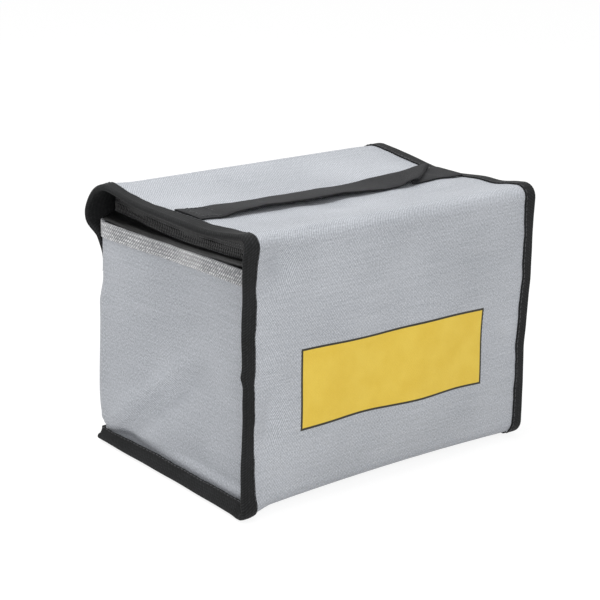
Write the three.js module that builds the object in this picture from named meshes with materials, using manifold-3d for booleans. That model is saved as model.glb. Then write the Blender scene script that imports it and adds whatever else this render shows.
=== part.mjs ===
// A soft box bag of coated glass cloth for batteries, in millimetres, +Z up.
// One long cover strip runs bottom, front, lid and back flap. A U-shaped wall strip makes the left end, the
// back and the right end. Folded tape binds the cover's edges, a zip joins the wall to the lid, and a webbing
// handle crosses the lid. The origin is on the ground under the middle of the bag, -Y is the front, -X the left end.
import * as THREE from 'three';
import { mergeVertices } from 'three/addons/utils/BufferGeometryUtils.js';
import Module from 'manifold-3d';

const wasm = await Module();
wasm.setup();

// ---- overall sizes
const LENGTH = 216; // X, over the bound edges of both ends
const DEPTH = 148; // Y, from the front binding to the back wall
const HEIGHT = 160; // Z, from the ground to the top of the lid's bound edge
// ---- cloth, lining and tape
const CLOTH = 1.4; // outer cloth with its seam allowance
const LINING = 0.8;
const BINDING_TAPE = 0.8; // one layer of the folded binding
const BINDING_WIDTH = 10.5; // how far the binding reaches in from the edge
const GAP = 0.3; // clearance between neighbouring pieces
const FOLD_GAP = 0.4; // slit between two panels of one sheet at a fold
// ---- soft folds, as radii of the cloth's middle surface
const BOTTOM_FOLD = 8;
const FRONT_FOLD = 7;
const BACK_FOLD = 22;
const CORNER_FOLD = 7;
const HINGE_OUT = 1; // how far a fold's hinge line lies outside the binding
// ---- lid and flap
const LID_SAG = 4.5; // how far the middle of the lid hangs below its ends
const FLAP_ROOM = 1.7; // clearance between the back fold's inside and the sliders' top edge
const FLAP_DROP = 56; // from the top of the lid down to the flap's edge
const FLAP_STRAIGHT = 22; // flat stretch at the flap's edge that lies against the back wall
// ---- wall strip and zip
const WALL_DROP = 22; // from the top of the lid down to the wall's top edge
const ZIP_DROP = 14; // from the top of the lid down to the line where the two coils meet
const COIL_HEIGHT = 2;
const COIL_DEPTH = 2;
const COIL_SLIT = 1.6; // room between the coils for the sliders' bridge
const ZIP_TAPE = 1;
const ZIP_TAPE_SEAM = 7; // how far the lower tape reaches down behind the wall
const ZIP_TAPE_OVERLAP = 1.6; // how far each tape reaches past the root of its coil
const UPPER_ZIP_START = 13; // distance from the front cloth to the front end of the upper tape and coil
const LOWER_ZIP_START = 2;
// ---- sliders and pulls
const SLIDER_LENGTH = 12;
const SLIDER_HEIGHT = 8;
const SLIDER_PLATE = 1.4;
const SLIDER_PLAY = 0.5; // room between a slider's plates and what runs between them
const SLIDER_BRIDGE = 1; // thickness of the bridge between the plates
const SLIDER_SPACING = 16; // between the two sliders' middles, closed
const STUD_RADIUS = 1;
const STUD_HEAD_RADIUS = 2;
const STUD_HEAD = 0.8;
const PULL_THICKNESS = 1.2;
const PULL_WIDTH = 6;
const PULL_LENGTH = 15;
const PULL_HOLE_RADIUS = 1.4;
// ---- hook and loop closure
const CLOSURE_WIDTH = 150;
const CLOSURE_HEIGHT = 10.5;
const CLOSURE_THICKNESS = 1.2;
// ---- handle
const WEBBING_WIDTH = 25;
const WEBBING = 1.5;
const HANDLE_Y = -8;
const HANDLE_END = 19; // sewn length at each end
const HANDLE_RISE = 5.2; // how far the strap's middle stands above its sewn ends
const HANDLE_SLOPE = 28; // length over which it rises
const HANDLE_SEAT = 0.75; // height of a sewn end above the lid's cloth under its middle

// ---- sizes that follow
const BINDING_HALF = CLOTH / 2 + GAP + BINDING_TAPE;
const SEAM_X = LENGTH / 2 - BINDING_WIDTH; // outer face of the end walls
const SHEET_X = LENGTH / 2 - BINDING_TAPE - GAP; // edge of the cover strip inside its binding
const INSIDE_BINDING_X = SEAM_X - GAP;
const FRONT_Y = -DEPTH / 2 + BINDING_HALF; // middle surface of the front cloth
const BACK_Y = DEPTH / 2 - CLOTH / 2; // middle surface of the back wall
const FLOOR_Z = BINDING_HALF; // middle surface of the bottom's edges
const TOP_Z = HEIGHT - BINDING_HALF; // middle surface of the lid at its folds
const BOTTOM_EDGE_Y = DEPTH / 2 + BINDING_WIDTH; // outer edge of the binding behind the back wall
// counted outwards from the cloth's middle surface: the outer and inner faces of the layers inside it
const LINING_OUT = -CLOTH / 2 - GAP;
const LINING_IN = LINING_OUT - LINING;
const ZIP_TAPE_IN = LINING_OUT - ZIP_TAPE;
const COIL_IN = LINING_OUT + GAP;
const COIL_OUT = COIL_IN + COIL_DEPTH;
const INSIDE_FLOOR = FLOOR_Z + CLOTH / 2 + GAP;
const LINING_FLOOR = INSIDE_FLOOR + LINING + GAP;
const WALL_TOP = HEIGHT - WALL_DROP;
const ZIP_MIDDLE = HEIGHT - ZIP_DROP;
const COIL_GAP_TOP = ZIP_MIDDLE + COIL_SLIT / 2;
const COIL_GAP_BOTTOM = ZIP_MIDDLE - COIL_SLIT / 2;
const LOWER_TAPE_BOTTOM = WALL_TOP - ZIP_TAPE_SEAM;
const SLIDER_INNER_Y = BACK_Y + ZIP_TAPE_IN - SLIDER_PLAY;
const SLIDER_OUTER_Y = BACK_Y + COIL_OUT + SLIDER_PLAY;
const PLATE_OUT_Y = SLIDER_OUTER_Y + SLIDER_PLATE;
const BACK_CENTRE_Z = TOP_Z - BACK_FOLD;
const SLIDER_TOP_RISE = ZIP_MIDDLE + SLIDER_HEIGHT / 2 - BACK_CENTRE_Z; // above the back fold's centre
const SLIDER_TOP_REACH = Math.sqrt((BACK_FOLD - CLOTH / 2) ** 2 - SLIDER_TOP_RISE ** 2);
const BACK_CENTRE_Y = PLATE_OUT_Y + FLAP_ROOM - SLIDER_TOP_REACH;
const FLAP_Y = BACK_Y + CLOTH / 2 + 2 * (GAP + CLOSURE_THICKNESS) + GAP + CLOTH / 2;
const FLAP_END_Z = TOP_Z + BINDING_HALF - FLAP_DROP;
const FLAP_STRAIGHT_TOP = FLAP_END_Z + FLAP_STRAIGHT;

// ---- materials
function finish(color, roughness, metalness = 0) {
  return new THREE.MeshStandardMaterial({ color, roughness, metalness });
}
const silverCloth = () => finish(0xb4b8bf, 0.55, 0.1);
const liningCloth = () => finish(0xa6a9ad, 0.7);
const bindingTape = () => finish(0x232428, 0.85);
const zipTape = () => finish(0x1a1b1d, 0.6);
const zipCoil = () => finish(0x2a2b2e, 0.45);
const blackMetal = () => finish(0x2b2b2d, 0.4, 0.8);
const webbing = () => finish(0x2a2a2e, 0.8);
const hookAndLoop = () => finish(0x1d1d20, 0.95);

// ---- solids
function solidOf(geometry) {
  const bare = geometry.index ? geometry.toNonIndexed() : geometry;
  bare.deleteAttribute('normal');
  bare.deleteAttribute('uv');
  const merged = mergeVertices(bare, 1e-4);
  const mesh = new wasm.Mesh({
    numProp: 3,
    vertProperties: new Float32Array(merged.attributes.position.array),
    triVerts: new Uint32Array(merged.index.array),
  });
  return new wasm.Manifold(mesh);
}

function geometryOf(solid) {
  const mesh = solid.getMesh();
  const geometry = new THREE.BufferGeometry();
  const positions = new Float32Array(mesh.vertProperties);
  geometry.setAttribute('position', new THREE.BufferAttribute(positions, 3));
  geometry.setIndex(new THREE.BufferAttribute(new Uint32Array(mesh.triVerts), 1));
  geometry.computeVertexNormals();
  return geometry;
}

const group = new THREE.Group();

function piece(name, geometry, material) {
  const mesh = new THREE.Mesh(geometry, material);
  mesh.name = name;
  group.add(mesh);
}

function block(low, high) {
  const size = high.map((value, axis) => value - low[axis]);
  const geometry = new THREE.BoxGeometry(...size);
  geometry.translate(...high.map((value, axis) => (value + low[axis]) / 2));
  return geometry;
}

// An open curve moved sideways by an offset. Outwards is to the left of the curve's direction.
function offsetCurve(curve, offset) {
  return curve.map((point, index) => {
    const before = curve[Math.max(index - 1, 0)];
    const after = curve[Math.min(index + 1, curve.length - 1)];
    const along = after.clone().sub(before).normalize();
    return new THREE.Vector2(point.x - along.y * offset, point.y + along.x * offset);
  });
}

// A closed outline between two offsets of an open curve.
function bandOutline(curve, low, high) {
  return new THREE.Shape([...offsetCurve(curve, high), ...offsetCurve(curve, low).reverse()]);
}

// A side profile, drawn as (y, z), carried along X.
function alongX(shape, fromX, toX) {
  const geometry = new THREE.ExtrudeGeometry(shape, { depth: toX - fromX, bevelEnabled: false });
  geometry.rotateZ(Math.PI / 2);
  geometry.rotateY(Math.PI / 2);
  geometry.translate(fromX, 0, 0);
  return geometry;
}

// A plan, drawn as (x, y), carried up Z.
function alongZ(shape, fromZ, toZ) {
  const geometry = new THREE.ExtrudeGeometry(shape, { depth: toZ - fromZ, bevelEnabled: false });
  geometry.translate(0, 0, fromZ);
  return geometry;
}

// A front profile, drawn as (x, z), carried along Y.
function alongY(shape, fromY, toY) {
  const geometry = new THREE.ExtrudeGeometry(shape, { depth: toY - fromY, bevelEnabled: false });
  geometry.rotateX(Math.PI / 2);
  geometry.translate(0, toY, 0);
  return geometry;
}

// ---- curves of the cover strip's middle surface, as (y, z), from the bottom's back edge to the flap's edge
const ARC_STEPS = 6;
const SAG_STEPS = 10;

function arc(centreY, centreZ, radius, fromDegrees, toDegrees) {
  const from = THREE.MathUtils.degToRad(fromDegrees);
  const to = THREE.MathUtils.degToRad(toDegrees);
  const curve = new THREE.EllipseCurve(centreY, centreZ, radius, radius, from, to, to < from);
  return curve.getPoints(ARC_STEPS);
}

// The angle that half a fold slit takes on an arc, in degrees.
const slitAngle = (radius) => THREE.MathUtils.radToDeg(FOLD_GAP / 2 / radius);

function bottomCurve(backY) {
  const centre = [FRONT_Y + BOTTOM_FOLD, FLOOR_Z + BOTTOM_FOLD];
  const fold = arc(...centre, BOTTOM_FOLD, 270, 225 + slitAngle(BOTTOM_FOLD));
  return [new THREE.Vector2(backY, FLOOR_Z), ...fold];
}

function frontCurve() {
  const low = [FRONT_Y + BOTTOM_FOLD, FLOOR_Z + BOTTOM_FOLD, BOTTOM_FOLD];
  const high = [FRONT_Y + FRONT_FOLD, TOP_Z - FRONT_FOLD, FRONT_FOLD];
  return [...arc(...low, 225 - slitAngle(BOTTOM_FOLD), 180), ...arc(...high, 180, 135 + slitAngle(FRONT_FOLD))];
}

function lidCurve() {
  const front = arc(FRONT_Y + FRONT_FOLD, TOP_Z - FRONT_FOLD, FRONT_FOLD, 135 - slitAngle(FRONT_FOLD), 90);
  const back = arc(BACK_CENTRE_Y, BACK_CENTRE_Z, BACK_FOLD, 90, 45 + slitAngle(BACK_FOLD));
  const start = front[front.length - 1];
  const middle = new THREE.Vector2((start.x + back[0].x) / 2, TOP_Z - 2 * LID_SAG);
  const sag = new THREE.QuadraticBezierCurve(start, middle, back[0]).getPoints(SAG_STEPS);
  return [...front, ...sag.slice(1, -1), ...back];
}

function flapCurve() {
  const fold = arc(BACK_CENTRE_Y, BACK_CENTRE_Z, BACK_FOLD, 45 - slitAngle(BACK_FOLD), 0);
  const bulge = fold[fold.length - 1];
  const bend = (bulge.y - FLAP_STRAIGHT_TOP) * 0.45;
  const tuck = new THREE.CubicBezierCurve(
    bulge,
    new THREE.Vector2(bulge.x, bulge.y - bend),
    new THREE.Vector2(FLAP_Y, FLAP_STRAIGHT_TOP + bend),
    new THREE.Vector2(FLAP_Y, FLAP_STRAIGHT_TOP),
  ).getPoints(ARC_STEPS);
  return [...fold, ...tuck.slice(1), new THREE.Vector2(FLAP_Y, FLAP_END_Z)];
}

// A curve shortened by a length at its last point, along its last stretch.
function cutEnd(curve, length) {
  const last = curve[curve.length - 1];
  const along = last.clone().sub(curve[curve.length - 2]).normalize();
  return [...curve.slice(0, -1), last.clone().addScaledVector(along, -length)];
}

// A curve shortened by a length at its first point.
const cutStart = (curve, length) => cutEnd([...curve].reverse(), length).reverse();

// ---- cover strip
function coverSheet(curve) {
  return alongX(bandOutline(curve, -CLOTH / 2, CLOTH / 2), -SHEET_X, SHEET_X);
}

// The bottom's middle hangs level with the bindings, so the bag rests on its cloth. Behind the back wall it is
// narrower, because the side bindings end there.
function bottomPanel() {
  const edgeY = BOTTOM_EDGE_Y - BINDING_TAPE - GAP;
  const sheet = solidOf(coverSheet(bottomCurve(edgeY)));
  const hangFront = FRONT_Y + BOTTOM_FOLD;
  const hang = solidOf(block([-INSIDE_BINDING_X, hangFront, 0], [INSIDE_BINDING_X, DEPTH / 2 - GAP, FLOOR_Z]));
  const corner = (low, high) => solidOf(block([low, DEPTH / 2 - GAP, 0], [high, BOTTOM_EDGE_Y, INSIDE_FLOOR]));
  const corners = corner(-LENGTH / 2, -INSIDE_BINDING_X).add(corner(INSIDE_BINDING_X, LENGTH / 2));
  return geometryOf(sheet.add(hang).subtract(corners));
}

piece('bottom_panel', bottomPanel(), silverCloth());
piece('front_panel', coverSheet(frontCurve()), silverCloth());
piece('lid_panel', coverSheet(lidCurve()), silverCloth());
piece('flap_panel', coverSheet(cutEnd(flapCurve(), BINDING_TAPE + GAP)), silverCloth());

// ---- bindings: folded tape round the edge of a sheet
// The outline is the tape's own, the slot is where the sheet lies.
function sideBinding(curve, side) {
  const inner = side * SEAM_X;
  const outer = (side * LENGTH) / 2;
  const slotEnd = side * (SHEET_X + GAP);
  const slotStart = inner - side * GAP;
  const between = (a, b) => [Math.min(a, b), Math.max(a, b)];
  const tape = solidOf(alongX(bandOutline(curve, -BINDING_HALF, BINDING_HALF), ...between(inner, outer)));
  const reach = BINDING_HALF - BINDING_TAPE;
  const slot = solidOf(alongX(bandOutline(lengthened(curve), -reach, reach), ...between(slotStart, slotEnd)));
  return geometryOf(tape.subtract(slot));
}

// A curve carried on by a gap at both ends, so that a cut made with it runs right through.
const lengthened = (curve) => cutStart(cutEnd(curve, -GAP), -GAP);

for (const [side, name] of [[-1, 'left'], [1, 'right']]) {
  piece(`binding_bottom_${name}`, sideBinding(bottomCurve(DEPTH / 2), side), bindingTape());
  piece(`binding_front_${name}`, sideBinding(frontCurve(), side), bindingTape());
  piece(`binding_lid_${name}`, sideBinding(lidCurve(), side), bindingTape());
  piece(`binding_flap_${name}`, sideBinding(flapCurve(), side), bindingTape());
}

// The binding along the bottom's back edge, between the side bindings.
function backBottomBinding() {
  const reach = BINDING_HALF - BINDING_TAPE;
  const inner = DEPTH / 2 + GAP;
  const low = [-INSIDE_BINDING_X, inner, FLOOR_Z - BINDING_HALF];
  const tape = solidOf(block(low, [INSIDE_BINDING_X, BOTTOM_EDGE_Y, FLOOR_Z + BINDING_HALF]));
  const slotLow = [-LENGTH / 2, inner - GAP, FLOOR_Z - reach];
  const slot = solidOf(block(slotLow, [LENGTH / 2, BOTTOM_EDGE_Y - BINDING_TAPE, FLOOR_Z + reach]));
  return geometryOf(tape.subtract(slot));
}
piece('binding_back_bottom', backBottomBinding(), bindingTape());

// The binding along the flap's edge, between the side bindings.
function flapEndBinding() {
  const reach = BINDING_HALF - BINDING_TAPE;
  const top = FLAP_END_Z + BINDING_WIDTH;
  const low = [-INSIDE_BINDING_X, FLAP_Y - BINDING_HALF, FLAP_END_Z];
  const tape = solidOf(block(low, [INSIDE_BINDING_X, FLAP_Y + BINDING_HALF, top]));
  const slotLow = [-LENGTH / 2, FLAP_Y - reach, FLAP_END_Z + BINDING_TAPE];
  const slot = solidOf(block(slotLow, [LENGTH / 2, FLAP_Y + reach, top + GAP]));
  return geometryOf(tape.subtract(slot));
}
piece('binding_flap_end', flapEndBinding(), bindingTape());

// ---- wall strip: plan curves of its middle surface, as (x, y), from the left end round the back to the right end
const WALL_X = SEAM_X - CLOTH / 2;
const CORNER_X = WALL_X - CORNER_FOLD;
const CORNER_Y = BACK_Y - CORNER_FOLD;
const CORNER_SLIT = slitAngle(CORNER_FOLD);

function leftEndCurve(frontY) {
  return [new THREE.Vector2(-WALL_X, frontY), ...arc(-CORNER_X, CORNER_Y, CORNER_FOLD, 180, 135 + CORNER_SLIT)];
}

function backCurve() {
  const left = arc(-CORNER_X, CORNER_Y, CORNER_FOLD, 135 - CORNER_SLIT, 90);
  return [...left, ...arc(CORNER_X, CORNER_Y, CORNER_FOLD, 90, 45 + CORNER_SLIT)];
}

function rightEndCurve(frontY) {
  return [...arc(CORNER_X, CORNER_Y, CORNER_FOLD, 45 - CORNER_SLIT, 0), new THREE.Vector2(WALL_X, frontY)];
}

// The whole U in one run, for the zip.
function wallCurve(frontY) {
  const left = arc(-CORNER_X, CORNER_Y, CORNER_FOLD, 180, 90);
  const right = arc(CORNER_X, CORNER_Y, CORNER_FOLD, 90, 0);
  return [new THREE.Vector2(-WALL_X, frontY), ...left, ...right, new THREE.Vector2(WALL_X, frontY)];
}

const WALL_FRONT_Y = FRONT_Y + CLOTH / 2 + GAP;

// What a piece inside the bag loses: all that lies outside the cover strip's inner side, less the clearance.
function trimToCover(geometry) {
  const cover = [...bottomCurve(DEPTH / 2), ...frontCurve(), ...lidCurve(), ...flapCurve()];
  const far = [
    [LENGTH, FLAP_END_Z],
    [LENGTH, 2 * HEIGHT],
    [-LENGTH, 2 * HEIGHT],
    [-LENGTH, -HEIGHT],
    [LENGTH, -HEIGHT],
    [LENGTH, INSIDE_FLOOR],
  ];
  const corners = far.map(([y, z]) => new THREE.Vector2(y, z));
  const outside = new THREE.Shape([...offsetCurve(cover, LINING_OUT), ...corners]);
  return geometryOf(solidOf(geometry).subtract(solidOf(alongX(outside, -LENGTH, LENGTH))));
}

function wall(curve) {
  return trimToCover(alongZ(bandOutline(curve, -CLOTH / 2, CLOTH / 2), INSIDE_FLOOR, WALL_TOP));
}
piece('end_wall_left', wall(leftEndCurve(WALL_FRONT_Y)), silverCloth());
piece('back_wall', wall(backCurve()), silverCloth());
piece('end_wall_right', wall(rightEndCurve(WALL_FRONT_Y)), silverCloth());

// ---- linings
function wallLining(curve) {
  return trimToCover(alongZ(bandOutline(curve, LINING_IN, LINING_OUT), LINING_FLOOR, LOWER_TAPE_BOTTOM - GAP));
}
piece('lining_left', wallLining(leftEndCurve(WALL_FRONT_Y)), liningCloth());
piece('lining_back', wallLining(backCurve()), liningCloth());
piece('lining_right', wallLining(rightEndCurve(WALL_FRONT_Y)), liningCloth());

// Linings of the cover strip lie between the wall linings.
const COVER_LINING_X = WALL_X + ZIP_TAPE_IN - GAP;

function coverLining(curve) {
  return alongX(bandOutline(curve, LINING_IN, LINING_OUT), -COVER_LINING_X, COVER_LINING_X);
}
piece('lining_front', coverLining(frontCurve()), liningCloth());
piece('lining_bottom', coverLining(bottomCurve(CORNER_Y)), liningCloth());

// The lid's lining stops where the zip tape starts to turn across the back.
function lidLining() {
  const band = solidOf(coverLining(lidCurve()));
  const beyond = solidOf(block([-LENGTH, CORNER_Y, 0], [LENGTH, LENGTH, 2 * HEIGHT]));
  return geometryOf(band.subtract(beyond));
}
piece('lining_lid', lidLining(), liningCloth());

// ---- zip
function zipBand(frontY, low, high, fromZ, toZ) {
  return alongZ(bandOutline(wallCurve(frontY), low, high), fromZ, toZ);
}
const lowerStart = FRONT_Y + LOWER_ZIP_START;
const upperStart = FRONT_Y + UPPER_ZIP_START;
const lowerCoilBottom = COIL_GAP_BOTTOM - COIL_HEIGHT;
const upperCoilTop = COIL_GAP_TOP + COIL_HEIGHT;
const lowerTapeTop = lowerCoilBottom + ZIP_TAPE_OVERLAP;
const upperTapeBottom = upperCoilTop - ZIP_TAPE_OVERLAP;

// The upper tape reaches up to just under the lid's cloth, wherever the lid hangs.
function upperTape() {
  return trimToCover(zipBand(upperStart, ZIP_TAPE_IN, LINING_OUT, upperTapeBottom, HEIGHT));
}
piece('zip_tape_lower', zipBand(lowerStart, ZIP_TAPE_IN, LINING_OUT, LOWER_TAPE_BOTTOM, lowerTapeTop), zipTape());
piece('zip_tape_upper', upperTape(), zipTape());
piece('zip_coil_lower', zipBand(lowerStart, COIL_IN, COIL_OUT, lowerCoilBottom, COIL_GAP_BOTTOM), zipCoil());
piece('zip_coil_upper', zipBand(upperStart, COIL_IN, COIL_OUT, COIL_GAP_TOP, upperCoilTop), zipCoil());

// ---- sliders and pulls, on the straight stretch of zip across the back
const pullInY = PLATE_OUT_Y + GAP;
const pullOutY = pullInY + PULL_THICKNESS;
const headInY = pullOutY + GAP;

function slider(middleX) {
  const lowX = middleX - SLIDER_LENGTH / 2;
  const highX = middleX + SLIDER_LENGTH / 2;
  const lowZ = ZIP_MIDDLE - SLIDER_HEIGHT / 2;
  const highZ = ZIP_MIDDLE + SLIDER_HEIGHT / 2;
  const inner = solidOf(block([lowX, SLIDER_INNER_Y - SLIDER_PLATE, lowZ], [highX, SLIDER_INNER_Y, highZ]));
  const outer = solidOf(block([lowX, SLIDER_OUTER_Y, lowZ], [highX, PLATE_OUT_Y, highZ]));
  const bridgeX = SLIDER_LENGTH / 4;
  const bridge = solidOf(
    block(
      [middleX - bridgeX / 2, SLIDER_INNER_Y - GAP, ZIP_MIDDLE - SLIDER_BRIDGE / 2],
      [middleX + bridgeX / 2, SLIDER_OUTER_Y + GAP, ZIP_MIDDLE + SLIDER_BRIDGE / 2],
    ),
  );
  const stud = solidOf(roundAlongY(middleX, STUD_RADIUS, PLATE_OUT_Y - GAP, headInY + GAP));
  const head = solidOf(roundAlongY(middleX, STUD_HEAD_RADIUS, headInY, headInY + STUD_HEAD));
  return geometryOf(inner.add(outer).add(bridge).add(stud).add(head));
}

function roundAlongY(middleX, radius, fromY, toY) {
  const geometry = new THREE.CylinderGeometry(radius, radius, toY - fromY, 24);
  geometry.translate(middleX, (fromY + toY) / 2, ZIP_MIDDLE);
  return geometry;
}

// A flat tab with a round eye at the top, hanging on the slider's stud.
function pull(middleX) {
  const half = PULL_WIDTH / 2;
  const shape = new THREE.Shape();
  shape.moveTo(middleX + half, ZIP_MIDDLE);
  shape.absarc(middleX, ZIP_MIDDLE, half, 0, Math.PI, false);
  shape.lineTo(middleX - half, ZIP_MIDDLE - PULL_LENGTH + half);
  shape.absarc(middleX, ZIP_MIDDLE - PULL_LENGTH + half, half, Math.PI, 2 * Math.PI, false);
  shape.closePath();
  const eye = new THREE.Path();
  eye.absarc(middleX, ZIP_MIDDLE, PULL_HOLE_RADIUS, 0, 2 * Math.PI, true);
  shape.holes.push(eye);
  return alongY(shape, pullInY, pullOutY);
}

for (const [side, name] of [[-1, 'left'], [1, 'right']]) {
  const middleX = (side * SLIDER_SPACING) / 2;
  piece(`slider_${name}`, slider(middleX), blackMetal());
  piece(`pull_${name}`, pull(middleX), blackMetal());
}

// ---- hook and loop strips that hold the flap down
const closureTop = FLAP_STRAIGHT_TOP;
const closureBottom = closureTop - CLOSURE_HEIGHT;

function closureStrip(fromY) {
  const low = [-CLOSURE_WIDTH / 2, fromY, closureBottom];
  return block(low, [CLOSURE_WIDTH / 2, fromY + CLOSURE_THICKNESS, closureTop]);
}
const loopY = BACK_Y + CLOTH / 2 + GAP;
piece('loop_strip', closureStrip(loopY), hookAndLoop());
piece('hook_strip', closureStrip(loopY + CLOSURE_THICKNESS + GAP), hookAndLoop());

// ---- handle: webbing across the lid, sewn down at both ends
// The height of the lid's cloth at a depth, on its sagging stretch.
function lidTop(y) {
  const start = FRONT_Y + FRONT_FOLD;
  const t = (y - start) / (BACK_CENTRE_Y - start);
  return TOP_Z - 4 * LID_SAG * t * (1 - t) + CLOTH / 2;
}
const handleLowY = HANDLE_Y - WEBBING_WIDTH / 2;
const handleHighY = HANDLE_Y + WEBBING_WIDTH / 2;
const handleSeatZ = lidTop(HANDLE_Y) + HANDLE_SEAT;
const handleEndX = INSIDE_BINDING_X - HANDLE_END;

for (const [side, name] of [[-1, 'left'], [1, 'right']]) {
  const ends = [side * INSIDE_BINDING_X, side * handleEndX];
  const low = [Math.min(...ends), handleLowY, handleSeatZ];
  piece(`handle_end_${name}`, block(low, [Math.max(...ends), handleHighY, handleSeatZ + WEBBING]), webbing());
}

// The strap's middle line as (x, z): up a smooth slope, straight across, and down again. Outwards is up.
function strapCurve() {
  const startX = handleEndX - GAP;
  const lowZ = handleSeatZ + WEBBING / 2;
  const highZ = lowZ + HANDLE_RISE;
  const slope = (side) =>
    new THREE.CubicBezierCurve(
      new THREE.Vector2(side * startX, lowZ),
      new THREE.Vector2(side * (startX - HANDLE_SLOPE / 2), lowZ),
      new THREE.Vector2(side * (startX - HANDLE_SLOPE / 2), highZ),
      new THREE.Vector2(side * (startX - HANDLE_SLOPE), highZ),
    ).getPoints(SAG_STEPS);
  return [...slope(-1), ...slope(1).reverse()];
}
piece(
  'handle_strap',
  alongY(bandOutline(strapCurve(), -WEBBING / 2, WEBBING / 2), handleLowY, handleHighY),
  webbing(),
);

// ---- hinge lines of the lid and the flap, along X: each lies on its fold's diagonal, just outside the binding
function hingeLine(centreY, centreZ, radius, side) {
  const reach = (radius + BINDING_HALF + HINGE_OUT) * Math.SQRT1_2;
  return new THREE.Vector3(0, centreY + side * reach, centreZ + reach);
}
group.userData.lidHinge = hingeLine(FRONT_Y + FRONT_FOLD, TOP_Z - FRONT_FOLD, FRONT_FOLD, -1);
group.userData.flapHinge = hingeLine(BACK_CENTRE_Y, BACK_CENTRE_Z, BACK_FOLD, 1);

export default group;
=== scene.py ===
"""A soft box bag of silver coated cloth with bound edges, a zip on three sides and a webbing handle.

Every shape is worked out in millimetres from the sizes below and becomes metres when its mesh is made.
+Z is up, -Y the front, -X the left end. One long strip of cloth is the bottom, front and lid, a second one the
back flap, and a U-shaped strip the left end, back and right end.
"""

import math

import bpy
import numpy as np
from mathutils import Matrix, Vector


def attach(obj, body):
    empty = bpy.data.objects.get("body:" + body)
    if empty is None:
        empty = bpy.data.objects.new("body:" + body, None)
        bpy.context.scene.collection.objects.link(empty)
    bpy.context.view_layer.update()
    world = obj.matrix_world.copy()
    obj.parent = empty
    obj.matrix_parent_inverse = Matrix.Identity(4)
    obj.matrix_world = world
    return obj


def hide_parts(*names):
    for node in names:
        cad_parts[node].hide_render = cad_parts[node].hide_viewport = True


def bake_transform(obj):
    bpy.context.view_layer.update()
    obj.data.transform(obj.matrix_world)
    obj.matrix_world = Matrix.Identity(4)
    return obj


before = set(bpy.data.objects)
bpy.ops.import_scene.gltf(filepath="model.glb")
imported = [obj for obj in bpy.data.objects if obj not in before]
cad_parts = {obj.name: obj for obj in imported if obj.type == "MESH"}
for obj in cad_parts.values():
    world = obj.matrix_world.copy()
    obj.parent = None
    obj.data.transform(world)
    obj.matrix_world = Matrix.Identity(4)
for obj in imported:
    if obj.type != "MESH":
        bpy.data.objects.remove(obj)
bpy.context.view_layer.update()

MM = 0.001
CLOTH = 1.4
TAPE = 0.8
OUT_X = 108.0
EDGE_X = 106.9
FRONT_Y = -72.2
BOTTOM_Z = 1.8
TOP_Z = 158.2
BACK_Y = 73.3
LID_FRONT_Y = -65.2
LID_LENGTH = 127.2


# ---------------------------------------------------------------- shapes
def ease(value, start, stop):
    """0 before start, 1 after stop, a smooth S between them."""
    t = np.clip((value - start) / (stop - start), 0, 1)
    return t * t * (3 - 2 * t)


def hill(value, centre, width):
    """A smooth hill 1 high at centre that has mostly died away width to either side."""
    return np.exp(-(((value - centre) / width) ** 2))


def arc(centre, radius, start, stop, count=40):
    """Points of a circle's arc from angle start to stop, in degrees."""
    a = np.radians(np.linspace(start, stop, count))
    return np.stack([centre[0] + radius * np.cos(a), centre[1] + radius * np.sin(a)], 1)


def line(start, stop, count=40):
    """Points of a straight line."""
    return np.linspace(start, stop, count)


class Path:
    """A flat curve through points, looked up by the length walked along it."""

    def __init__(self, *parts):
        points = np.concatenate([np.asarray(p, float) for p in parts])
        steps = np.linalg.norm(np.diff(points, axis=0), axis=1)
        keep = np.concatenate([[True], steps > 1e-6])
        points = points[keep]
        steps = np.linalg.norm(np.diff(points, axis=0), axis=1)
        self.walked = np.concatenate([[0], np.cumsum(steps)])
        self.points = points
        self.length = self.walked[-1]

    def at(self, s):
        a = np.interp(s, self.walked, self.points[:, 0])
        b = np.interp(s, self.walked, self.points[:, 1])
        return a, b

    def left(self, s):
        """The unit vector square to the curve, on its left."""
        a0, b0 = self.at(s - 0.6)
        a1, b1 = self.at(s + 0.6)
        long = np.hypot(a1 - a0, b1 - b0) + 1e-9
        return -(b1 - b0) / long, (a1 - a0) / long

    def where(self, column, value, low=0.0, high=None):
        """How far along the curve its first or second number reaches value, between low and high."""
        s = np.linspace(low, self.length if high is None else high, 4000)
        return float(s[np.argmin(np.abs(self.at(s)[column] - value))])


def normals(grid):
    across = np.cross(np.gradient(grid, axis=0), np.gradient(grid, axis=1))
    return across / np.maximum(np.linalg.norm(across, axis=-1, keepdims=True), 1e-9)


def lengths(grid):
    """Distance along each direction of a grid of points, as its unrolled coordinates."""
    du = np.linalg.norm(np.diff(grid, axis=0), axis=-1).mean(1)
    dv = np.linalg.norm(np.diff(grid, axis=1), axis=-1).mean(0)
    u = np.concatenate([[0], np.cumsum(du)])
    v = np.concatenate([[0], np.cumsum(dv)])
    return np.stack(np.meshgrid(u, v, indexing="ij"), -1)


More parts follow.
